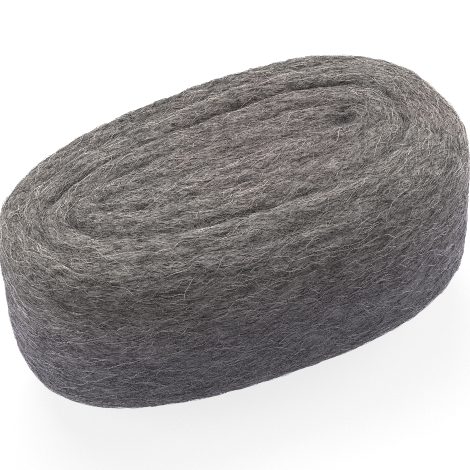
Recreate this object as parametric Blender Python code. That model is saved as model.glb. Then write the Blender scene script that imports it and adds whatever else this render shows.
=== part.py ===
"""A bundle of steel wool: one long felted ribbon wound flat on itself into an oval roll.

The roll stands on one end of its turns, as it would on a bench. Its turns show as a spiral of
soft ridges on both ends, with a groove wherever one turn meets the next. The ribbon is matted
into one mass, so the roll is one solid. The origin is the middle of its footprint, X runs along
the roll and Z points up. Units are metres.
"""

import math

import bmesh
import bpy

# Overall size
LENGTH = 0.200
WIDTH = 0.113
HEIGHT = 0.086

# Plan outline: an oval, a little squarer than an ellipse and a little wider towards +X
OUTLINE_POWER = 2.45
TAPER = 0.10

# Side: rounded at both ends, and bellied out between them
TOP_ROUNDING = 0.009
FRONT_SOFTNESS = 1.4  # the top edge is rounder by this share at the front
BACK_CRISPNESS = 0.6  # and tighter by this share at the back
BOTTOM_ROUNDING = 0.026
BOTTOM_LEAN = 0.15  # the bottom edge grows rounder by this share towards -X
BELLY = 0.0015

# The wound ribbon
RIBBON_THICKNESS = 0.014
START_TURN = 0.27  # how far round the innermost turn has come at +X
CLOSE_ANGLE = math.radians(125)  # the turns are drawn in here, and lie further out opposite
DRAWN_IN = 0.005
DRAWN_IN_TWICE = 0.002  # a second, smaller draw that comes twice in a turn
CORE_STRETCH = 0.004  # how much further the core line reaches than the outline's own
CORE_Y = 0.007  # the core line lies back from the middle
TURNS_SHIFT_X = -0.002  # the middle turns lie off centre

# Grooves between the turns, and the turns' own unevenness
TOP_GROOVE = 0.0029  # where the ribbon is wound most loosely
TOP_GROOVE_WIDTH = 0.0026  # from a groove's bottom to about where its side eases off
TIGHT_GROOVE_SHARE = 0.65  # of that depth, where it is wound tightly
LOOSE_TURN = 2.3
LOOSE_SPREAD = 0.5  # in turns
GROOVE_UNEVENNESS = 0.2  # of a groove's depth
GROOVE_WAVES_PER_TURN = 4
GROOVE_TWIST = 300  # radians per metre out from the core, so that the waves don't line up
TURN_UNEVENNESS = 0.0010
UNEVEN_WAVES_PER_TURN = 1.3
TOP_FADE = 0.012  # the grooves fade out over this much before the turns stop
BOTTOM_FADE = 0.025
BOTTOM_GROOVE = 0.0015
BOTTOM_FLATNESS = 2.0
PRESSED_FLAT = 1.15  # over 1, the middle of each turn is quite flat

# The crease along the line that the ribbon is first folded over
CORE_CREASE = 0.0018
CORE_CREASE_WIDTH = 0.0045

# The eye, a pit where the ribbon makes its first bend
EYE_FROM_CORE_END = 0.0065
EYE_Y = 0.006
EYE_RADIUS = 0.007
EYE_DEPTH = 0.0030

# The ribbon's loose outer end, which lies against the side as a low step
TAIL_ANGLE = math.radians(60)
TAIL_STEP = 0.0014
TAIL_FADE = math.radians(50)

# Mesh density
STEPS_ROUND = 72
STEPS_ACROSS_TURN = 6
RIM_ANGLE = math.radians(60)  # how far round the rounded edge the turns reach
RIM_STEPS = 2
WALL_STEPS = 5
WELD_DISTANCE = 0.00002

HALF_LENGTH = LENGTH / 2
HALF_WIDTH = WIDTH / 2
CORE_HALF = HALF_LENGTH - HALF_WIDTH

STEEL_GREY = (0.17, 0.16, 0.155, 1.0)
STEEL_ROUGHNESS = 0.55
STEEL_METALLIC = 0.7


def remove_all_objects():
    for obj in list(bpy.data.objects):
        bpy.data.objects.remove(obj)


def oval_point(reach, angle):
    """The plan point that lies reach out from the core line, at an angle round the roll."""
    share = reach / HALF_WIDTH
    inner = max(0.0, 1 - share)
    power = 2 + (OUTLINE_POWER - 2) * share
    cosine = math.cos(angle)
    sine = math.sin(angle)
    square = (abs(cosine) ** power + abs(sine) ** power) ** (-1 / power)
    x = (CORE_HALF + CORE_STRETCH * inner + reach) * cosine * square
    y = reach * sine * square
    y *= 1 + TAPER * x / HALF_LENGTH
    return x + TURNS_SHIFT_X * math.sin(math.pi * inner), y + CORE_Y * inner


def top_rounding(angle):
    """The radius of the top edge at an angle round the roll."""
    sine = math.sin(angle)
    if sine < 0:
        return TOP_ROUNDING * (1 + FRONT_SOFTNESS * sine**2)
    return TOP_ROUNDING * (1 - BACK_CRISPNESS * sine)


def bottom_rounding(angle):
    """The radius of the bottom edge at an angle round the roll."""
    return BOTTOM_ROUNDING * (1 + BOTTOM_LEAN * (1 - math.cos(angle)) / 2)


def flat_reach(rounding):
    """How far the flat part of an end reaches out from the core line."""
    return HALF_WIDTH - rounding


def turns_reach(rounding):
    """The distance over an end face, from the core line to where its turns stop."""
    return flat_reach(rounding) + rounding * RIM_ANGLE


def end_section(distance, rounding):
    """(reach, depth below the end, outward part, upward part) at a distance over an end face."""
    over = distance - flat_reach(rounding)
    if over <= 0:
        return distance, 0.0, 0.0, 1.0
    turn = over / rounding
    reach = flat_reach(rounding) + rounding * math.sin(turn)
    depth = rounding * (1 - math.cos(turn))
    return reach, depth, math.sin(turn), math.cos(turn)


def belly_inset(height):
    """How far the side is in from its widest outline at a height."""
    return BELLY * (2 * height / HEIGHT - 1) ** 2


def tail_height(angle):
    """How far the ribbon's loose end stands out of the side, fading round the roll."""
    behind = (TAIL_ANGLE - angle) % (2 * math.pi)
    return TAIL_STEP * max(0.0, 1 - behind / TAIL_FADE)


def hump(offset, spread):
    """1 where the offset is 0, falling smoothly to nothing over about two spreads."""
    return math.exp(-((offset / spread) ** 2))


def ridge(across, flatness):
    """Height across one turn, from 0 in its grooves to 1 along its middle."""
    return 1 - abs(2 * across - 1) ** flatness


def top_dip(across, path, distance, x, y):
    """How deep the top lies under its own envelope."""
    gap = hump(min(across, 1 - across) * RIBBON_THICKNESS, TOP_GROOVE_WIDTH)
    loose = hump(distance / RIBBON_THICKNESS - LOOSE_TURN, LOOSE_SPREAD)
    groove = TOP_GROOVE * (TIGHT_GROOVE_SHARE + (1 - TIGHT_GROOVE_SHARE) * loose)
    groove_wave = math.sin(2 * math.pi * GROOVE_WAVES_PER_TURN * path + GROOVE_TWIST * distance)
    groove *= 1 + GROOVE_UNEVENNESS * groove_wave
    wave = math.sin(2 * math.pi * UNEVEN_WAVES_PER_TURN * path)
    uneven = TURN_UNEVENNESS * (0.5 + 0.5 * wave)
    core = hump(distance, CORE_CREASE_WIDTH)
    eye_x = CORE_HALF + CORE_STRETCH + EYE_FROM_CORE_END
    eye = EYE_DEPTH * hump(math.hypot(x - eye_x, y - EYE_Y), EYE_RADIUS)
    return (groove * gap + uneven * (1 - gap)) * (1 - core) + CORE_CREASE * core + eye


def bottom_dip(across, distance):
    """The underside is pressed flat by the roll's weight, so only its grooves are left."""
    core = hump(distance, CORE_CREASE_WIDTH)
    groove = max(0.0, 1 - PRESSED_FLAT * ridge(across, BOTTOM_FLATNESS))
    return BOTTOM_GROOVE * (groove * (1 - core) + core)


def first_groove(angle):
    """How many turns out from the core line the innermost groove lies, at an angle."""
    off = angle - CLOSE_ANGLE
    drawn_in = DRAWN_IN * math.cos(off) + DRAWN_IN_TWICE * math.cos(2 * off)
    return START_TURN + angle / (2 * math.pi) - drawn_in / RIBBON_THICKNESS


def end_point(row, angle, is_top):
    """A point of the spiral sheet that covers one end of the roll.

    A row follows the ribbon: it moves out by one ribbon thickness each time round.
    """
    rounding = top_rounding(angle) if is_top else bottom_rounding(angle)
    limit = turns_reach(rounding)
    turn = row / STEPS_ACROSS_TURN + first_groove(angle)
    distance = min(max(turn * RIBBON_THICKNESS, 0.0), limit)
    across = (row / STEPS_ACROSS_TURN) % 1
    path = row // STEPS_ACROSS_TURN + angle / (2 * math.pi)
    reach, below, outward, upward = end_section(distance, rounding)
    x, y = oval_point(reach, angle)
    fade = min(1.0, (limit - distance) / (TOP_FADE if is_top else BOTTOM_FADE))
    dip = top_dip(across, path, distance, x, y) if is_top else bottom_dip(across, distance)
    dip *= fade
    height = below + dip * upward
    reach -= dip * outward
    return side_point(reach, HEIGHT - height if is_top else height, angle)


def side_point(reach, height, angle):
    """A point at a reach from the core line, drawn in by the belly and out by the loose end."""
    share = reach / HALF_WIDTH
    tail = tail_height(angle) * max(0.0, 1 - (1 - share) * HALF_WIDTH / TOP_ROUNDING)
    reach = max(0.0, reach - belly_inset(height) * share + tail)
    x, y = oval_point(reach, angle)
    return x, y, height


def side_profile(angle):
    """(reach, height) down the side, from the last row of the top to that of the underside."""
    rounding = top_rounding(angle)
    lower_rounding = bottom_rounding(angle)
    profile = []
    for step in range(RIM_STEPS):
        turn = RIM_ANGLE + (math.pi / 2 - RIM_ANGLE) * step / RIM_STEPS
        reach = flat_reach(rounding) + rounding * math.sin(turn)
        profile.append((reach, HEIGHT - rounding * (1 - math.cos(turn))))
    wall_top = HEIGHT - rounding
    for step in range(WALL_STEPS):
        share = step / WALL_STEPS
        profile.append((HALF_WIDTH, wall_top + (lower_rounding - wall_top) * share))
    for step in range(RIM_STEPS + 1):
        turn = math.pi / 2 - (math.pi / 2 - RIM_ANGLE) * step / RIM_STEPS
        reach = flat_reach(lower_rounding) + lower_rounding * math.sin(turn)
        profile.append((reach, lower_rounding * (1 - math.cos(turn))))
    return profile


def add_sheet(bm, steps, point_at):
    """Adds a grid of STEPS_ROUND by steps quads and puts each of its corners at point_at(i, j)."""
    grid = bmesh.ops.create_grid(bm, x_segments=STEPS_ROUND, y_segments=steps, size=0.5)
    for vert in grid["verts"]:
        i = round((vert.co.x + 0.5) * STEPS_ROUND)
        j = round((vert.co.y + 0.5) * steps)
        vert.co = point_at(i, j)


def angle_of(step):
    return 2 * math.pi * (step % STEPS_ROUND) / STEPS_ROUND


def add_end(bm, is_top):
    """The spiral sheet over one end: it starts at the core line and stops on the rounded edge."""
    rounding = top_rounding(-math.pi / 2) if is_top else bottom_rounding(math.pi)
    grooves = [first_groove(2 * math.pi * i / STEPS_ROUND) for i in range(STEPS_ROUND + 1)]
    first = -math.ceil(STEPS_ACROSS_TURN * max(grooves))
    last = math.ceil(STEPS_ACROSS_TURN * (turns_reach(rounding) / RIBBON_THICKNESS - min(grooves)))

    def point_at(i, j):
        if i == STEPS_ROUND:  # once round, a row runs on into the row one turn further out
            return end_point(first + j + STEPS_ACROSS_TURN, 0.0, is_top)
        return end_point(first + j, angle_of(i), is_top)

    add_sheet(bm, last - first, point_at)


def add_side(bm):
    steps = len(side_profile(0.0)) - 1
    add_sheet(bm, steps, lambda i, j: side_point(*side_profile(angle_of(i))[j], angle_of(i)))


def make_roll_mesh():
    bm = bmesh.new()
    add_end(bm, is_top=True)
    add_end(bm, is_top=False)
    add_side(bm)
    bmesh.ops.remove_doubles(bm, verts=bm.verts, dist=WELD_DISTANCE)
    bmesh.ops.dissolve_degenerate(bm, edges=bm.edges, dist=WELD_DISTANCE)
    bmesh.ops.recalc_face_normals(bm, faces=bm.faces)
    mesh = bpy.data.meshes.new("steel_wool_roll")
    bm.to_mesh(mesh)
    bm.free()
    mesh.shade_smooth()
    return mesh


def steel_wool_material():
    material = bpy.data.materials.new("steel_wool")
    material.use_nodes = True
    shader = material.node_tree.nodes["Principled BSDF"]
    shader.inputs["Base Color"].default_value = STEEL_GREY
    shader.inputs["Roughness"].default_value = STEEL_ROUGHNESS
    shader.inputs["Metallic"].default_value = STEEL_METALLIC
    return material


def main():
    remove_all_objects()
    collection = bpy.data.collections.new("steel_wool_bundle")
    bpy.context.scene.collection.children.link(collection)
    roll = bpy.data.objects.new("steel_wool_roll", make_roll_mesh())
    roll.data.materials.append(steel_wool_material())
    collection.objects.link(roll)


main()
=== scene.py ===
"""The looks of a bundle of steel wool: one ribbon of fine fibres wound flat into an oval roll.

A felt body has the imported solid's form at a finer grain, and thousands of single fibres lie over
it, along the way that the ribbon winds. Units are metres. A place on the roll is a distance, from
the top's core line over the rim, down the side and back in underneath, and an angle round it.
"""

import math

import bmesh
import bpy
import numpy as np
from mathutils import Matrix, Vector


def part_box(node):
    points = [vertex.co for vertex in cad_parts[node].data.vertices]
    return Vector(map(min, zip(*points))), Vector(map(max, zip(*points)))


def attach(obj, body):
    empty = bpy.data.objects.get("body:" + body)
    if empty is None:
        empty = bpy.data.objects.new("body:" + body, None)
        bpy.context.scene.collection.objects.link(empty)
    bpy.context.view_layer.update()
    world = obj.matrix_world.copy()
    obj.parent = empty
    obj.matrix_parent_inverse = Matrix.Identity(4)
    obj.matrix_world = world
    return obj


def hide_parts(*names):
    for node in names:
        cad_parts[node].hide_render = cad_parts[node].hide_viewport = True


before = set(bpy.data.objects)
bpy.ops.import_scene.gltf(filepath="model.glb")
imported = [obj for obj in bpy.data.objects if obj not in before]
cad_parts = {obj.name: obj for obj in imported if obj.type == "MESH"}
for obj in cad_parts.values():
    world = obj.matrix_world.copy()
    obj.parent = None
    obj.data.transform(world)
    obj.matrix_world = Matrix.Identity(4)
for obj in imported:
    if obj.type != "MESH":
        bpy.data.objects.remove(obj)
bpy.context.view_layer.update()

NODE = "steel_wool_roll"
BODY = "root"

# Form of the roll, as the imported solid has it
OUTLINE_POWER = 2.45
TAPER = 0.10
TOP_ROUNDING = 0.009
FRONT_SOFTNESS = 1.4
BACK_CRISPNESS = 0.6
BOTTOM_ROUNDING = 0.026
BOTTOM_LEAN = 0.15
BELLY = 0.0015
RIM_ANGLE = math.radians(60)
RIBBON_THICKNESS = 0.014
START_TURN = 0.27
CLOSE_ANGLE = math.radians(125)
DRAWN_IN = 0.005
DRAWN_IN_TWICE = 0.002
CORE_STRETCH = 0.004
CORE_Y = 0.007
TURNS_SHIFT_X = -0.002
TOP_GROOVE = 0.0029
TOP_GROOVE_WIDTH = 0.0026
TIGHT_GROOVE_SHARE = 0.65
LOOSE_TURN = 2.3
LOOSE_SPREAD = 0.5
GROOVE_UNEVENNESS = 0.2
GROOVE_WAVES_PER_TURN = 4
GROOVE_TWIST = 300
TURN_UNEVENNESS = 0.0010
UNEVEN_WAVES_PER_TURN = 1.3
TOP_FADE = 0.012
BOTTOM_FADE = 0.025
BOTTOM_GROOVE = 0.0015
BOTTOM_FLATNESS = 2.0
PRESSED_FLAT = 1.15
CORE_CREASE = 0.0018
CORE_CREASE_WIDTH = 0.0045
EYE_FROM_CORE_END = 0.0065
EYE_Y = 0.006
EYE_RADIUS = 0.007
EYE_DEPTH = 0.0030
TAIL_ANGLE = math.radians(60)
TAIL_STEP = 0.0014
TAIL_FADE = math.radians(50)

# The felt body
FELT_COLUMNS = 600
FELT_TOP_ROWS = 76
FELT_ROWS = 158
FELT_INSET = 0.0003  # the felt lies this far under the solid's skin, and the fibres fill that
WELD_DISTANCE = 0.00001

# Locks: the soft uneven streaks that the fibres gather in
LOCK_CELL = 0.0005
LOCK_LAYERS = (  # depth, length along the winding, width across it
    (0.00024, 0.010, 0.0022),
    (0.00018, 0.005, 0.0010),
)
SIDE_LOCKS = 0.4  # of that depth, down the side
LOCK_SEED = 4
LOCK_CUTOFF = 4  # how sharply a layer loses the waves that are shorter than its streaks
CORE_CLEAR = 0.005  # locks fade out this near a core line, where the two sides of the felt meet

# Where fibres bridge the solid's grooves, and where they gape
BRIDGED_GROOVE = 0.55  # of its depth
BRIDGED_CORE = 0.7
GAPES = (  # middle along the groove in turns of the ribbon, half length in turns, share of the depth
    (0.58, 0.10, 0.75),
    (0.91, 0.04, 0.8),
    (1.11, 0.07, 0.8),
    (1.55, 0.09, 0.95),
    (1.80, 0.09, 1.0),
    (2.03, 0.045, 1.0),
    (2.13, 0.03, 0.9),
    (2.245, 0.06, 1.0),
    (2.385, 0.05, 1.0),
    (2.52, 0.06, 0.8),
    (2.69, 0.05, 0.8),
    (3.09, 0.04, 0.6),
)
GAPE_FLATNESS = 4  # how squarely a gape ends

# How finely the skin is measured
SLOPE_DISTANCE = 0.0008
SLOPE_ANGLE = 0.008
SHORTEST = 1e-12
MILLIMETRES = 1000  # in a metre

# Single fibres. Each kind's lengths are in metres and its angles in radians
RING = 3  # sides of a fibre
UNDERSIDE_SHARE = 0.35  # of the fibres that the rest of the skin has in the same area
SCATTER_ROWS = 185
SCATTER_COLUMNS = 300
FIBRE_KINDS = {
    "matted_fibres": {
        "seed": 11, "count": 5200, "segments": 6, "length": (0.005, 0.011), "radius": (0.00008, 0.00012),
        "spread": 0.46, "bend": 0.8, "wave": 0.45, "waves": (0.6, 1.4),
        "base": (-0.0001, 0.0002), "arch": 0.0004, "tuck": 0.0002, "tone": (0.0, 0.8),
    },
    "crimped_fibres": {
        "seed": 13, "count": 5200, "segments": 6, "length": (0.005, 0.012), "radius": (0.00008, 0.00012),
        "spread": 0.4, "bend": 0.8, "wave": 0.5, "waves": (0.6, 1.4),
        "base": (0.0000, 0.0003), "arch": 0.0004, "tuck": 0.0003, "tone": (0.0, 1.0),
    },
    "winding_fibres": {
        "seed": 12, "count": 3900, "segments": 8, "length": (0.007, 0.014), "radius": (0.00008, 0.00012),
        "spread": 0.32, "bend": 0.7, "wave": 0.4, "waves": (0.8, 1.8),
        "base": (0.0000, 0.0003), "arch": 0.0004, "tuck": 0.0003, "tone": (0.1, 1.0),
    },
    "loose_fibres": {
        "seed": 14, "count": 2600, "segments": 12, "length": (0.008, 0.020), "radius": (0.00007, 0.00011),
        "spread": 0.25, "bend": 0.9, "wave": 0.5, "waves": (0.8, 1.8),
        "base": (0.0001, 0.0004), "arch": 0.0006, "tuck": 0.0004, "tone": (0.5, 1.0),
    },
}
LOW_SPREAD = 1.7  # fibres cross more towards the bottom of the side
WAVE_SHARES = (0.3, 1.0)
ARCH_SKEWS = (0.6, 1.6)
TUCK_SHARPNESS = 6
THINNING_SHARPNESS = 4
END_THINNESS = 0.5
LEAST_SQUARED_AREA = 1e-5  # keeps a fibre's steps short where the skin closes up at its core lines
FLOOR_CLEARANCE = 0.00005
CAP_REACH = 1.0  # a fibre's end in its bake rectangle, in which a segment and a side are 1
CAP_GAP = 0.2
BAKE_MARGIN = (0.2, 0.1)

# Colours. A ramp is a list of places on it with their colours
FIBRE_COLOURS = ((0.0, (0.10, 0.10, 0.10)), (0.5, (0.32, 0.32, 0.32)), (1.0, (0.85, 0.85, 0.85)))
FIBRE_ROUGHNESS = 0.45
FIBRE_METALLIC = 0.3
# The felt's dark end is painted shade in the gaps between fibres, where the wool's depths lie in shadow;
# its light end is the fibres' own grey
FELT_COLOURS_AND_GAP_SHADE = ((0.0, (0.012, 0.012, 0.012)), (0.5, (0.07, 0.07, 0.07)), (1.0, (0.42, 0.42, 0.42)))
FELT_ROUGHNESS = 0.65
FELT_METALLIC = 0.2
# Painted light: a cool cast of reflected light low on the side that turns warmer towards the top
PAINTED_LIGHT_CAST_BY_HEIGHT = (
    (0.0, (0.985, 0.92, 1.08)),
    (0.45, (0.985, 0.92, 1.045)),
    (0.70, (1.0, 0.92, 0.965)),
    (0.90, (1.0, 0.92, 0.905)),
    (0.98, (1.0, 0.92, 0.865)),
)
SOFT_GREY = (0.21, 0.21, 0.21, 1)  # dark and light fibres are more alike low down
SOFT_SHARES = ((0.3, (0.3, 0.3, 0.3)), (0.7, (0.0, 0.0, 0.0)))
DARKEST_PAINTED_SHADE_DEPTH = 4.0  # millimetres of groove depth, where the painted shade is darkest
# Painted shade: the colour darkens the deeper a place lies in the top's grooves, core crease and eye
PAINTED_GROOVE_SHADE = ((0.1, (1.0, 1.0, 1.0)), (0.5, (0.72, 0.72, 0.72)), (1.0, (0.4, 0.4, 0.4)))
PATCHES = (  # middle and reach of the patches with a pinkish cast
    ((0.020, 0.010, 0.080), 0.060),
    ((0.095, -0.005, 0.070), 0.035),
)
PATCH_RATE = 70  # per metre, of the noise that breaks the patches up
PATCH_DETAIL = 2
PATCH_TINTS = ((0.15, (1.0, 1.0, 1.0)), (0.5, (1.005, 0.96, 0.975)))
BAND_RATES = (4, 4, 130)
BAND_DETAIL = 2
BAND_TINTS = ((0.35, (0.90, 0.90, 0.90)), (0.65, (1.08, 1.08, 1.08)))
STREAK_LAYERS = (  # offset, slant, crimp, rate along the winding and across it per millimetre, sharpness
    ((0.0, 0.0, 0.0), 8.0, 1.3, 0.12, 1.3, 7.0),
    ((31.0, 17.0, 5.0), -11.0, 1.5, 0.15, 1.5, 7.0),
    ((57.0, 43.0, 9.0), 15.0, 1.8, 0.20, 1.8, 6.0),
)
STREAK_DETAIL = 1
STREAK_BUMP = 0.0004
SLANT_RATE = 0.06  # per millimetre
CRIMP_RATE = 0.30
NOISE_MIDDLE = 0.5  # a noise's mean value

# Floor and light
FLOOR_SIZE = 6.0
FLOOR_COLOUR = (0.55, 0.55, 0.55, 1)
FLOOR_SHADE = (0.3, 0.3, 0.3, 1)
FLOOR_GLOW = 0.8
WORLD_LIGHT = 0.16
LAMPS = (  # name, place, size, watts
    ("overhead_softbox", (0.1, 0.65, 1.02), 1.0, 12.0),
    ("left_softbox", (-1.2, 0.35, 0.40), 0.7, 8.0),
    ("right_softbox", (1.2, 0.0, 0.40), 0.7, 10.5),
)

# The photograph's view
CAMERA_DISTANCE = 0.668
CAMERA_AZIMUTH = math.radians(-24.87)
CAMERA_ELEVATION = math.radians(42.64)
CAMERA_ROLL = math.radians(-2.92)
CAMERA_LENS = 122.6
CAMERA_SHIFT = (-0.0106, 0.0148)
CAMERA_CLIP = 0.01
PIXEL_FILTER = 1.0


def unit_outline(angle, power):
    """The point of a rounded outline of size 1: a circle at power 2, and squarer above it."""
    cosine = np.cos(angle)
    sine = np.sin(angle)
    square = (np.abs(cosine) ** power + np.abs(sine) ** power) ** (-1 / power)
    return cosine * square, sine * square


def widest_share():
    """How far the tapered outline reaches across, as a share of half its plain width."""
    x, y = unit_outline(np.linspace(0, math.pi, 721), OUTLINE_POWER)
    return float(np.max(y * (1 + TAPER * x)))


node_low, node_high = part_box(NODE)
HEIGHT = node_high.z
HALF_LENGTH = (node_high.x - node_low.x) / 2
HALF_WIDTH = (node_high.y - node_low.y) / 2 / widest_share()
CORE_HALF = HALF_LENGTH - HALF_WIDTH

# Where the profile changes, as distances from the top's core line
TOP_RIM_END = HALF_WIDTH + TOP_ROUNDING * (math.pi / 2 - 1)
WALL_END = TOP_RIM_END + HEIGHT - TOP_ROUNDING - BOTTOM_ROUNDING
BOTTOM_RIM_END = WALL_END + BOTTOM_ROUNDING * math.pi / 2
PROFILE_LENGTH = BOTTOM_RIM_END + HALF_WIDTH - BOTTOM_ROUNDING
WINDING_RADIUS = (HALF_LENGTH + HALF_WIDTH) / 2


def oval_point(reach, angle):
    """The plan point that lies reach out from the core line, at an angle round the roll."""
    share = reach / HALF_WIDTH
    inner = np.maximum(0, 1 - share)
    x, y = unit_outline(angle, 2 + (OUTLINE_POWER - 2) * share)
    x = x * (CORE_HALF + CORE_STRETCH * inner + reach)
    y = y * reach * (1 + TAPER * x / HALF_LENGTH)
    return x + TURNS_SHIFT_X * np.sin(np.pi * inner), y + CORE_Y * inner


def top_rounding(angle):
    """The radius of the top edge: soft at the front, crisp at the back."""
    sine = np.sin(angle)
    return TOP_ROUNDING * np.where(sine < 0, 1 + FRONT_SOFTNESS * sine**2, 1 - BACK_CRISPNESS * sine)


def bottom_rounding(angle):
    """The radius of the bottom edge, which grows towards -X."""
    return BOTTOM_ROUNDING * (1 + BOTTOM_LEAN * (1 - np.cos(angle)) / 2)


def end_section(distance, rounding):
    """(reach, depth below the end, turn) of one end, where turn is a right angle on the wall."""
    flat_end = HALF_WIDTH - rounding
    turn = np.clip((distance - flat_end) / rounding, 0, np.pi / 2)
    reach = np.minimum(distance, flat_end) + rounding * np.sin(turn)
    return reach, rounding * (1 - np.cos(turn)), turn


def section(distance, angle):
    """(reach, height, outward part, upward part) of the plain profile at a place.

    The wall takes up what the two edges' changing radii add, so the profile's length is the same
    all round.
    """
    above = top_rounding(angle)
    below = bottom_rounding(angle)
    top_reach, top_depth, top_turn = end_section(distance, above)
    bottom_reach, bottom_height, bottom_turn = end_section(PROFILE_LENGTH - distance, below)
    wall_start = HALF_WIDTH + above * (np.pi / 2 - 1)
    wall_end = PROFILE_LENGTH - HALF_WIDTH - below * (np.pi / 2 - 1)
    wall_share = np.clip((distance - wall_start) / (wall_end - wall_start), 0, 1)
    height = HEIGHT - top_depth - (HEIGHT - above - below) * wall_share - (below - bottom_height)
    turn = top_turn + np.pi / 2 - bottom_turn
    return np.minimum(top_reach, bottom_reach), height, np.sin(turn), np.cos(turn)


def hump(offset, spread):
    """1 at no offset, falling smoothly to nothing within a few spreads."""
    return np.exp(-((offset / spread) ** 2))


def ridge(across, flatness):
    """1 along the middle of a turn and 0 at its edges."""
    return 1 - np.abs(2 * across - 1) ** flatness


def rim_fade(distance, rounding, fade):
    """1 over most of an end, falling to 0 where its turns stop on the rounded edge."""
    limit = HALF_WIDTH - rounding + rounding * RIM_ANGLE
    return np.clip((limit - distance) / fade, 0, 1)


def first_groove(angle):
    """How many turns out from the core line the innermost groove lies, at an angle."""
    off = angle - CLOSE_ANGLE
    drawn_in = DRAWN_IN * np.cos(off) + DRAWN_IN_TWICE * np.cos(2 * off)
    return START_TURN + angle / (2 * np.pi) - drawn_in / RIBBON_THICKNESS


def turns_at(distance, angle):
    """(place across the turn from 0 to 1, length of ribbon wound so far in turns)."""
    wound = distance / RIBBON_THICKNESS - first_groove(angle)
    return wound % 1, np.floor(wound) + angle / (2 * np.pi)


def open_share(distance, angle):
    """How much of the groove nearest to a place its fibres leave open."""
    nearest = np.round(distance / RIBBON_THICKNESS - first_groove(angle)) + angle / (2 * np.pi)
    share = np.full_like(nearest, BRIDGED_GROOVE)
    for middle, half_length, depth in GAPES:
        gape = np.exp(-((nearest - middle) / half_length) ** GAPE_FLATNESS)
        share = np.maximum(share, BRIDGED_GROOVE + (depth - BRIDGED_GROOVE) * gape)
    return share


def top_hollow(distance, angle):
    """How deep the top's grooves, core crease and eye are at a place."""
    across, path = turns_at(distance, angle)
    gap = hump(np.minimum(across, 1 - across) * RIBBON_THICKNESS, TOP_GROOVE_WIDTH)
    loose = hump(distance / RIBBON_THICKNESS - LOOSE_TURN, LOOSE_SPREAD)
    groove = TOP_GROOVE * (TIGHT_GROOVE_SHARE + (1 - TIGHT_GROOVE_SHARE) * loose)
    groove_wave = np.sin(2 * np.pi * GROOVE_WAVES_PER_TURN * path + GROOVE_TWIST * distance)
    groove = groove * (1 + GROOVE_UNEVENNESS * groove_wave)
    groove = groove * gap * open_share(distance, angle)
    core = hump(distance, CORE_CREASE_WIDTH)
    x, y = oval_point(distance, angle)
    eye_x = CORE_HALF + CORE_STRETCH + EYE_FROM_CORE_END
    eye = EYE_DEPTH * hump(np.hypot(x - eye_x, y - EYE_Y), EYE_RADIUS)
    hollow = groove * (1 - core) + BRIDGED_CORE * CORE_CREASE * core + eye
    return hollow * rim_fade(distance, top_rounding(angle), TOP_FADE)


def top_swell(distance, angle):
    """How far the top's turns lie under its envelope along their middles."""
    across, path = turns_at(distance, angle)
    ridge_share = 1 - hump(np.minimum(across, 1 - across) * RIBBON_THICKNESS, TOP_GROOVE_WIDTH)
    wave = 0.5 + 0.5 * np.sin(2 * np.pi * UNEVEN_WAVES_PER_TURN * path)
    fade = rim_fade(distance, top_rounding(angle), TOP_FADE)
    return TURN_UNEVENNESS * wave * ridge_share * (1 - hump(distance, CORE_CREASE_WIDTH)) * fade


def bottom_dip(distance, angle):
    """How deep the underside's grooves and core crease are, at a distance from its own core line."""
    across, _ = turns_at(distance, angle)
    core = hump(distance, CORE_CREASE_WIDTH)
    groove = np.maximum(0, 1 - PRESSED_FLAT * ridge(across, BOTTOM_FLATNESS))
    fade = rim_fade(distance, bottom_rounding(angle), BOTTOM_FADE)
    return BOTTOM_GROOVE * (groove * (1 - core) + core) * fade


def tail_height(angle):
    """How far the ribbon's loose end stands out of the side, fading round the roll."""
    behind = (TAIL_ANGLE - angle) % (2 * np.pi)
    return TAIL_STEP * np.maximum(0, 1 - behind / TAIL_FADE)


def make_locks():
    """A smooth random field over the unrolled skin, which closes on itself round the roll."""
    rng = np.random.default_rng(LOCK_SEED)
    rows = round(PROFILE_LENGTH / LOCK_CELL)
    columns = round(np.pi * (HALF_LENGTH + HALF_WIDTH) / LOCK_CELL)
    row_rate = np.fft.fftfreq(rows, LOCK_CELL)[:, None]
    column_rate = np.fft.rfftfreq(columns, LOCK_CELL)[None, :]
    total = np.zeros((rows, columns))
    for depth, length, width in LOCK_LAYERS:
        spread = (row_rate * width) ** 2 + (column_rate * length) ** 2
        noise = np.fft.rfft2(rng.standard_normal((rows, columns)))
        field = np.fft.irfft2(noise * np.exp(-LOCK_CUTOFF * spread), s=(rows, columns))
        total += depth * field / field.std()
    return total


LOCKS = make_locks()


def lock_depth(distance, angle):
    """How deep the locks are at a place, between the field's four nearest values."""
    row = np.clip(distance / PROFILE_LENGTH, 0, 1) * (LOCKS.shape[0] - 1)
    column = angle / (2 * np.pi) * LOCKS.shape[1]
    low_row = np.minimum(row.astype(int), LOCKS.shape[0] - 2)
    low_column = column.astype(int)
    next_column = (low_column + 1) % LOCKS.shape[1]
    low_column = low_column % LOCKS.shape[1]
    down = row - low_row
    over = column - np.floor(column)
    upper = LOCKS[low_row, low_column] * (1 - over) + LOCKS[low_row, next_column] * over
    lower = LOCKS[low_row + 1, low_column] * (1 - over) + LOCKS[low_row + 1, next_column] * over
    nearest_core = np.minimum(distance, PROFILE_LENGTH - distance)
    on_side = np.clip((distance - TOP_RIM_END) / TOP_ROUNDING + 1, 0, 1)
    share = np.clip(nearest_core / CORE_CLEAR, 0, 1) * (1 - (1 - SIDE_LOCKS) * on_side)
    return (upper * (1 - down) + lower * down) * share


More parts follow.
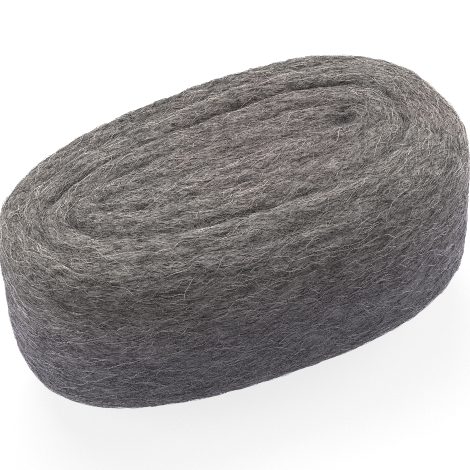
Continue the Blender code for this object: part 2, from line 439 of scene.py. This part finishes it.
def skin(distance, angle):
    """Points of the felt's skin. Past a core line it runs on down the other side."""
    distance, angle = np.broadcast_arrays(distance, angle)
    past = (distance < 0) | (distance > PROFILE_LENGTH)
    angle = np.where(past, -angle, angle) % (2 * np.pi)
    distance = np.where(distance > PROFILE_LENGTH, 2 * PROFILE_LENGTH - distance, np.abs(distance))
    reach, height, outward, upward = section(distance, angle)
    dip = top_hollow(distance, angle) + top_swell(distance, angle)
    dip = dip + bottom_dip(PROFILE_LENGTH - distance, angle)
    dip = dip + lock_depth(distance, angle) + FELT_INSET
    reach = np.maximum(0, reach - dip * outward)
    height = height - dip * upward
    share = reach / HALF_WIDTH
    tail = tail_height(angle) * np.maximum(0, 1 - (1 - share) * HALF_WIDTH / TOP_ROUNDING)
    inset = BELLY * (2 * height / HEIGHT - 1) ** 2 * share
    x, y = oval_point(np.maximum(0, reach - inset + tail), angle)
    return np.stack([x, y, np.maximum(height, FELT_INSET)], axis=-1)


def unit(vectors):
    return vectors / np.maximum(np.linalg.norm(vectors, axis=-1, keepdims=True), SHORTEST)


def dot(a, b):
    return np.sum(a * b, axis=-1)


def skin_slopes(distance, angle):
    """(change of the skin per metre of distance, per radian of angle, unit normal)."""
    nearer = skin(distance - SLOPE_DISTANCE, angle)
    further = skin(distance + SLOPE_DISTANCE, angle)
    before = skin(distance, angle - SLOPE_ANGLE)
    after = skin(distance, angle + SLOPE_ANGLE)
    by_distance = (further - nearer) / (2 * SLOPE_DISTANCE)
    by_angle = (after - before) / (2 * SLOPE_ANGLE)
    return by_distance, by_angle, unit(np.cross(by_distance, by_angle))


def felt_distances():
    """Where the rows of the felt's mesh lie, closer together on the top."""
    rows = np.arange(FELT_ROWS + 1)
    return np.interp(rows, (0, FELT_TOP_ROWS, FELT_ROWS), (0, TOP_RIM_END, PROFILE_LENGTH))


def set_hollows(mesh, hollows):
    """Keeps each point's depth in the top's grooves, in millimetres, for the materials, which paint shade
    into the grooves from it.
    """
    layer = mesh.attributes.new("hollow", "FLOAT", "POINT")
    layer.data.foreach_set("value", (hollows * MILLIMETRES).astype(np.float32).ravel())


def make_felt():
    """The felt's closed skin, with each point's place along the winding for its material."""
    distance = felt_distances()[:, None]
    angle = (2 * np.pi * np.arange(FELT_COLUMNS) / FELT_COLUMNS)[None, :]
    points = skin(distance, angle)
    index = np.arange(points.shape[0] * FELT_COLUMNS).reshape(points.shape[:2])
    following = np.roll(index, -1, axis=1)
    faces = np.stack([index[:-1], index[1:], following[1:], following[:-1]], axis=-1)
    mesh = bpy.data.meshes.new("felt_body")
    mesh.from_pydata(points.reshape(-1, 3).tolist(), [], faces.reshape(-1, 4).tolist())
    winding = np.stack(np.broadcast_arrays(
        WINDING_RADIUS * np.cos(angle), WINDING_RADIUS * np.sin(angle), distance), axis=-1)
    layer = mesh.attributes.new("winding", "FLOAT_VECTOR", "POINT")
    layer.data.foreach_set("vector", (winding * MILLIMETRES).astype(np.float32).ravel())
    set_hollows(mesh, top_hollow(distance, angle))
    bm = bmesh.new()
    bm.from_mesh(mesh)
    bmesh.ops.remove_doubles(bm, verts=bm.verts, dist=WELD_DISTANCE)
    bmesh.ops.dissolve_degenerate(bm, edges=bm.edges, dist=WELD_DISTANCE)
    bmesh.ops.recalc_face_normals(bm, faces=bm.faces)
    bm.to_mesh(mesh)
    bm.free()
    mesh.shade_smooth()
    return mesh


def scatter_table():
    """Places over the skin with the share of the fibres that starts at each."""
    distance = (np.arange(SCATTER_ROWS) + 0.5) / SCATTER_ROWS * PROFILE_LENGTH
    angle = (np.arange(SCATTER_COLUMNS) + 0.5) / SCATTER_COLUMNS * 2 * np.pi
    distance, angle = np.meshgrid(distance, angle, indexing="ij")
    by_distance, by_angle, _ = skin_slopes(distance, angle)
    area = np.linalg.norm(np.cross(by_distance, by_angle), axis=-1)
    area = np.where(distance > BOTTOM_RIM_END - BOTTOM_ROUNDING / 2, area * UNDERSIDE_SHARE, area)
    return distance.ravel(), angle.ravel(), area.ravel() / area.sum()


SCATTER = scatter_table()


def scatter(rng, count):
    """Random places over the skin for a number of fibres to start."""
    distance, angle, share = SCATTER
    chosen = rng.choice(len(share), size=count, p=share)
    row_size = PROFILE_LENGTH / SCATTER_ROWS
    column_size = 2 * np.pi / SCATTER_COLUMNS
    distance = distance[chosen] + rng.uniform(-0.5, 0.5, count) * row_size
    angle = angle[chosen] + rng.uniform(-0.5, 0.5, count) * column_size
    return distance, angle


def lay_fibres(rng, kind):
    """(points, normals, hollows) of fibres that run over the skin, each bending its own way."""
    count = kind["count"]
    segments = kind["segments"]
    distance, angle = scatter(rng, count)
    length = rng.uniform(*kind["length"], count)
    spread = kind["spread"] * np.interp(distance, (TOP_RIM_END, BOTTOM_RIM_END), (1, LOW_SPREAD))
    heading = rng.normal(0, spread, count) + np.pi * rng.integers(0, 2, count)
    bend = rng.normal(0, kind["bend"], count)
    wave = rng.uniform(*WAVE_SHARES, count) * kind["wave"]
    wave_phase = rng.uniform(0, 2 * np.pi, count)
    wave_count = rng.uniform(*kind["waves"], count)
    points = np.zeros((count, segments + 1, 3))
    normals = np.zeros_like(points)
    hollows = np.zeros(points.shape[:2])
    for stop in range(segments + 1):
        share = stop / segments
        by_distance, by_angle, normal = skin_slopes(distance, angle)
        points[:, stop] = skin(distance, angle)
        normals[:, stop] = normal
        hollows[:, stop] = top_hollow(distance, angle)
        turned = heading + bend * (share - 0.5)
        turned = turned + wave * np.sin(2 * np.pi * wave_count * share + wave_phase)
        along = unit(by_angle)
        across = np.cross(normal, along)
        step = np.cos(turned)[:, None] * along + np.sin(turned)[:, None] * across
        step = step * (length / segments)[:, None]
        dd = dot(by_distance, by_distance)
        da = dot(by_distance, by_angle)
        aa = dot(by_angle, by_angle)
        squared_area = np.maximum(dd * aa - da * da, LEAST_SQUARED_AREA)
        step_d = dot(step, by_distance)
        step_a = dot(step, by_angle)
        distance = distance + (step_d * aa - step_a * da) / squared_area
        distance = np.clip(distance, 0, PROFILE_LENGTH)
        angle = angle + (step_a * dd - step_d * da) / squared_area
    return points, normals, hollows


def lift_fibres(rng, kind, points, normals):
    """Raises each fibre off the skin in its own low arch, with its ends tucked in."""
    count, stops, _ = points.shape
    share = np.linspace(0, 1, stops)[None, :]
    base = rng.uniform(*kind["base"], count)[:, None]
    arch = (rng.random(count) ** 2 * kind["arch"])[:, None]
    skew = rng.uniform(*ARCH_SKEWS, count)[:, None]
    lift = base + arch * np.sin(np.pi * share**skew)
    lift = lift - kind["tuck"] * np.abs(2 * share - 1) ** TUCK_SHARPNESS
    raised = points + normals * lift[:, :, None]
    raised[:, :, 2] = np.maximum(raised[:, :, 2], FLOOR_CLEARANCE + kind["radius"][1])
    return raised


def bake_places(count, stops):
    """Each fibre's own small rectangle of the bake: quads first, then its two ends."""
    across = math.ceil(math.sqrt(count))
    cell = 1 / across
    corner = np.stack([np.arange(count) % across, np.arange(count) // across], axis=-1) * cell
    stop = np.arange(stops - 1)[:, None]
    side = np.arange(RING)[None, :]
    u = np.stack(np.broadcast_arrays(stop, stop + 1, stop + 1, stop), axis=-1)
    v = np.stack(np.broadcast_arrays(side, side, side + 1, side + 1), axis=-1)
    body = np.stack(np.broadcast_arrays(u, v), axis=-1).reshape(-1, 2)
    start = np.array([[-CAP_REACH, 0], [-CAP_GAP, RING / 2], [-CAP_REACH, RING]])
    end = start * [-1, 1] + [stops - 1, 0]
    margin = np.array(BAKE_MARGIN) + [CAP_REACH, 0]
    size = np.array([stops - 1, RING]) + 2 * margin
    within = (np.concatenate([body, start, end]) + margin) / size * cell
    return corner, within, len(body)


def make_fibre_mesh(name, points, normals, hollows, radii, tones):
    """One mesh of closed three-sided fibres."""
    count, stops, _ = points.shape
    forward = unit(np.gradient(points, axis=1))
    side = unit(np.cross(forward, normals))
    up = np.cross(side, forward)
    turn = 2 * np.pi * np.arange(RING) / RING + np.pi / 2
    ring = np.cos(turn)[:, None] * side[:, :, None] + np.sin(turn)[:, None] * up[:, :, None]
    places = points[:, :, None] + radii[:, :, None, None] * ring
    index = np.arange(count * stops * RING).reshape(count, stops, RING)
    near, far = index[:, :-1], index[:, 1:]
    near_next, far_next = np.roll(near, -1, axis=2), np.roll(far, -1, axis=2)
    quads = np.stack([near, far, far_next, near_next], axis=-1).reshape(-1, 4)
    starts = index[:, 0]
    ends = index[:, -1, ::-1]
    faces = quads.tolist() + starts.tolist() + ends.tolist()
    mesh = bpy.data.meshes.new(name)
    mesh.from_pydata(places.reshape(-1, 3).tolist(), [], faces)
    corner, within, body_size = bake_places(count, stops)
    parts = np.split(within, [body_size, body_size + RING])
    uv = np.concatenate([(corner[:, None] + part).reshape(-1, 2) for part in parts])
    mesh.uv_layers.new(name="OFBake").data.foreach_set("uv", uv.astype(np.float32).ravel())
    tone = mesh.attributes.new("tone", "FLOAT", "POINT")
    tone.data.foreach_set("value", np.repeat(tones, stops * RING).astype(np.float32))
    set_hollows(mesh, np.repeat(hollows, RING))
    mesh.shade_smooth()
    return mesh


def make_fibres(name, kind):
    """A piece with all the fibres of one kind."""
    rng = np.random.default_rng(kind["seed"])
    points, normals, hollows = lay_fibres(rng, kind)
    raised = lift_fibres(rng, kind, points, normals)
    stops = kind["segments"] + 1
    radius = rng.uniform(*kind["radius"], kind["count"])[:, None]
    thinning = 1 - (1 - END_THINNESS) * np.abs(np.linspace(-1, 1, stops)) ** THINNING_SHARPNESS
    tones = rng.uniform(*kind["tone"], kind["count"])
    mesh = make_fibre_mesh(name, raised, normals, hollows, radius * thinning[None, :], tones)
    return bpy.data.objects.new(name, mesh)


def new_material(name, roughness, metallic):
    material = bpy.data.materials.new(name)
    material.use_nodes = True
    shader = material.node_tree.nodes["Principled BSDF"]
    shader.inputs["Roughness"].default_value = roughness
    shader.inputs["Metallic"].default_value = metallic
    return material, material.node_tree, shader


def feed(tree, socket, value):
    """Links a node's output to a socket, or sets the socket to a constant."""
    if isinstance(value, bpy.types.NodeSocket):
        tree.links.new(value, socket)
    else:
        socket.default_value = value


def math_node(tree, operation, first, second):
    node = tree.nodes.new("ShaderNodeMath")
    node.operation = operation
    feed(tree, node.inputs[0], first)
    feed(tree, node.inputs[1], second)
    return node.outputs["Value"]


def vector_node(tree, operation, first, second):
    """A step of vector maths. A distance comes out as a value, and anything else as a vector."""
    node = tree.nodes.new("ShaderNodeVectorMath")
    node.operation = operation
    feed(tree, node.inputs[0], first)
    feed(tree, node.inputs[1], second)
    return node.outputs["Value" if operation == "DISTANCE" else "Vector"]


def attribute_node(tree, name, output="Fac"):
    node = tree.nodes.new("ShaderNodeAttribute")
    node.attribute_name = name
    return node.outputs[output]


def noise_node(tree, vector, detail, rate=1):
    node = tree.nodes.new("ShaderNodeTexNoise")
    node.inputs["Scale"].default_value = rate
    node.inputs["Detail"].default_value = detail
    tree.links.new(vector, node.inputs["Vector"])
    return node.outputs["Fac"]


def ramp_node(tree, factor, stops):
    node = tree.nodes.new("ShaderNodeValToRGB")
    elements = node.color_ramp.elements
    elements.remove(elements[1])
    elements[0].position, elements[0].color = stops[0][0], (*stops[0][1], 1)
    for position, colour in stops[1:]:
        elements.new(position).color = (*colour, 1)
    tree.links.new(factor, node.inputs["Fac"])
    return node.outputs["Color"]


def mixed(tree, blend, share, first, second):
    mix = tree.nodes.new("ShaderNodeMix")
    mix.data_type = "RGBA"
    mix.blend_type = blend
    for name, value in (("Factor", share), ("A", first), ("B", second)):
        feed(tree, mix.inputs[name], value)
    return mix.outputs["Result"]


def patch_share(tree, place):
    """1 in the middle of a pinkish patch and 0 away from them all, with ragged edges."""
    share = 0.0
    for middle, reach in PATCHES:
        away = math_node(tree, "DIVIDE", vector_node(tree, "DISTANCE", place, middle), reach)
        share = math_node(tree, "MAXIMUM", math_node(tree, "SUBTRACT", 1, away), share)
    noise = noise_node(tree, place, PATCH_DETAIL, PATCH_RATE)
    return math_node(tree, "MULTIPLY", share, math_node(tree, "DIVIDE", noise, NOISE_MIDDLE))


def tint_and_painted_light_nodes(tree, colour):
    """Painted light and shade over the wool's own tints: a cool cast of reflected light low on the side
    that turns warmer towards the top, painted shade in the top's grooves, core crease and eye, and a few
    pinkish patches.

    Long faint bands run round the side, where the ribbon's fibres lie denser or looser.
    """
    coordinates = tree.nodes.new("ShaderNodeTexCoord")
    place = coordinates.outputs["Object"]
    parts = tree.nodes.new("ShaderNodeSeparateXYZ")
    tree.links.new(place, parts.inputs["Vector"])
    height = math_node(tree, "DIVIDE", parts.outputs["Z"], HEIGHT)
    # Painted shade from the depth of the top's grooves, core crease and eye
    depth = math_node(tree, "DIVIDE", attribute_node(tree, "hollow"), DARKEST_PAINTED_SHADE_DEPTH)
    patches = patch_share(tree, place)
    bands = noise_node(tree, vector_node(tree, "MULTIPLY", place, BAND_RATES), BAND_DETAIL)
    # Depth paints shade and height paints a cast of reflected light; the patches and bands are the wool's
    # own colour
    tints_and_painted_light = ((depth, PAINTED_GROOVE_SHADE), (height, PAINTED_LIGHT_CAST_BY_HEIGHT), (patches, PATCH_TINTS), (bands, BAND_TINTS))
    colour = mixed(tree, "MIX", ramp_node(tree, height, SOFT_SHARES), colour, SOFT_GREY)
    for factor, stops in tints_and_painted_light:
        colour = mixed(tree, "MULTIPLY", 1, colour, ramp_node(tree, factor, stops))
    return colour


def fibre_material():
    material, tree, shader = new_material("steel_fibres", FIBRE_ROUGHNESS, FIBRE_METALLIC)
    colour = ramp_node(tree, attribute_node(tree, "tone"), FIBRE_COLOURS)
    tree.links.new(tint_and_painted_light_nodes(tree, colour), shader.inputs["Base Color"])
    return material


def pushed(tree, vector, rate, size):
    """How far noise at a rate per millimetre pushes a streak across the winding."""
    noise = noise_node(tree, vector, STREAK_DETAIL, rate)
    return math_node(tree, "MULTIPLY", math_node(tree, "SUBTRACT", noise, NOISE_MIDDLE), size)


def streak_lines(tree, winding, offset, slant, crimp, along, across, sharpness):
    """Thin wandering lines, where a stretched noise passes through its middle value."""
    moved = vector_node(tree, "ADD", winding, offset)
    slanted = pushed(tree, moved, SLANT_RATE, slant)
    crimped = pushed(tree, moved, CRIMP_RATE, crimp)
    upward = tree.nodes.new("ShaderNodeCombineXYZ")
    feed(tree, upward.inputs["Z"], math_node(tree, "ADD", slanted, crimped))
    place = vector_node(tree, "ADD", moved, upward.outputs["Vector"])
    place = vector_node(tree, "MULTIPLY", place, (along, along, across))
    off_middle = math_node(tree, "SUBTRACT", noise_node(tree, place, STREAK_DETAIL), NOISE_MIDDLE)
    off_middle = math_node(tree, "ABSOLUTE", off_middle, 0)
    return math_node(tree, "SUBTRACT", 1, math_node(tree, "MULTIPLY", off_middle, sharpness))


def felt_material():
    material, tree, shader = new_material("steel_felt", FELT_ROUGHNESS, FELT_METALLIC)
    winding = attribute_node(tree, "winding", "Vector")
    lines = 0.0
    for layer in STREAK_LAYERS:
        lines = math_node(tree, "MAXIMUM", streak_lines(tree, winding, *layer), lines)
    # Painted shade: the gaps between the streak lines are near black for the wool's shadowed depths
    colour = ramp_node(tree, lines, FELT_COLOURS_AND_GAP_SHADE)
    tree.links.new(tint_and_painted_light_nodes(tree, colour), shader.inputs["Base Color"])
    bump = tree.nodes.new("ShaderNodeBump")
    bump.inputs["Distance"].default_value = STREAK_BUMP
    tree.links.new(lines, bump.inputs["Height"])
    tree.links.new(bump.outputs["Normal"], shader.inputs["Normal"])
    return material


def seen_directly(tree):
    """1 for camera, glossy and transmission rays, and 0 for the light that falls on things."""
    path = tree.nodes.new("ShaderNodeLightPath")
    seen = math_node(tree, "MAXIMUM", path.outputs["Is Camera Ray"], path.outputs["Is Glossy Ray"])
    return math_node(tree, "MAXIMUM", seen, path.outputs["Is Transmission Ray"])


def make_world():
    world = bpy.data.worlds.new("studio")
    world.use_nodes = True
    tree = world.node_tree
    background = tree.nodes["Background"]
    background.inputs["Color"].default_value = (1, 1, 1, 1)
    share = math_node(tree, "MULTIPLY", seen_directly(tree), 1 - WORLD_LIGHT)
    tree.links.new(math_node(tree, "ADD", share, WORLD_LIGHT), background.inputs["Strength"])
    bpy.context.scene.world = world


def floor_material():
    """Pale and matt. Seen directly it is white, and the shadow on it is a soft grey."""
    material = bpy.data.materials.new("pale_floor")
    material.use_nodes = True
    tree = material.node_tree
    tree.nodes.remove(tree.nodes["Principled BSDF"])
    plain = tree.nodes.new("ShaderNodeBsdfDiffuse")
    plain.inputs["Color"].default_value = FLOOR_COLOUR
    shaded = tree.nodes.new("ShaderNodeBsdfDiffuse")
    shaded.inputs["Color"].default_value = FLOOR_SHADE
    glow = tree.nodes.new("ShaderNodeEmission")
    glow.inputs["Strength"].default_value = FLOOR_GLOW
    white = tree.nodes.new("ShaderNodeAddShader")
    tree.links.new(shaded.outputs["BSDF"], white.inputs[0])
    tree.links.new(glow.outputs["Emission"], white.inputs[1])
    mix = tree.nodes.new("ShaderNodeMixShader")
    tree.links.new(seen_directly(tree), mix.inputs["Fac"])
    tree.links.new(plain.outputs["BSDF"], mix.inputs[1])
    tree.links.new(white.outputs["Shader"], mix.inputs[2])
    tree.links.new(mix.outputs["Shader"], tree.nodes["Material Output"].inputs["Surface"])
    return material


def make_floor():
    bpy.ops.mesh.primitive_plane_add(size=FLOOR_SIZE, location=(0, 0, 0))
    floor = bpy.context.object
    floor.name = "floor"
    floor.data.materials.append(floor_material())


def make_lamps():
    for name, place, size, watts in LAMPS:
        lamp = bpy.data.lights.new(name, "AREA")
        lamp.size = size
        lamp.energy = watts
        holder = bpy.data.objects.new(name, lamp)
        holder.location = place
        towards = Vector((0, 0, HEIGHT / 2)) - Vector(place)
        holder.rotation_euler = towards.to_track_quat("-Z", "Y").to_euler()
        bpy.context.scene.collection.objects.link(holder)


def make_camera():
    camera = bpy.data.cameras.new("photo_view")
    camera.lens = CAMERA_LENS
    camera.shift_x, camera.shift_y = CAMERA_SHIFT
    camera.clip_start = CAMERA_CLIP
    holder = bpy.data.objects.new("photo_view", camera)
    level = math.cos(CAMERA_ELEVATION)
    back = Vector((
        math.sin(CAMERA_AZIMUTH) * level, -math.cos(CAMERA_AZIMUTH) * level, math.sin(CAMERA_ELEVATION)))
    target = Vector((0, 0, HEIGHT / 2))
    facing = (-back).to_track_quat("-Z", "Y").to_matrix().to_4x4()
    roll = Matrix.Rotation(CAMERA_ROLL, 4, "Z")
    holder.matrix_world = Matrix.Translation(target + back * CAMERA_DISTANCE) @ facing @ roll
    bpy.context.scene.collection.objects.link(holder)
    bpy.context.scene.camera = holder


def add_piece(piece, material):
    piece.data.materials.append(material)
    bpy.context.scene.collection.objects.link(piece)
    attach(piece, BODY)
    return piece


bpy.context.scene.view_settings.view_transform = "Standard"
bpy.context.scene.cycles.use_denoising = False  # it would smear the fibres
bpy.context.scene.cycles.filter_width = PIXEL_FILTER
make_camera()
felt = add_piece(bpy.data.objects.new("felt_body", make_felt()), felt_material())
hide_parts(NODE)
steel = fibre_material()
for fibre_name, fibre_kind in FIBRE_KINDS.items():
    add_piece(make_fibres(fibre_name, fibre_kind), steel)
make_floor()
make_lamps()
make_world()
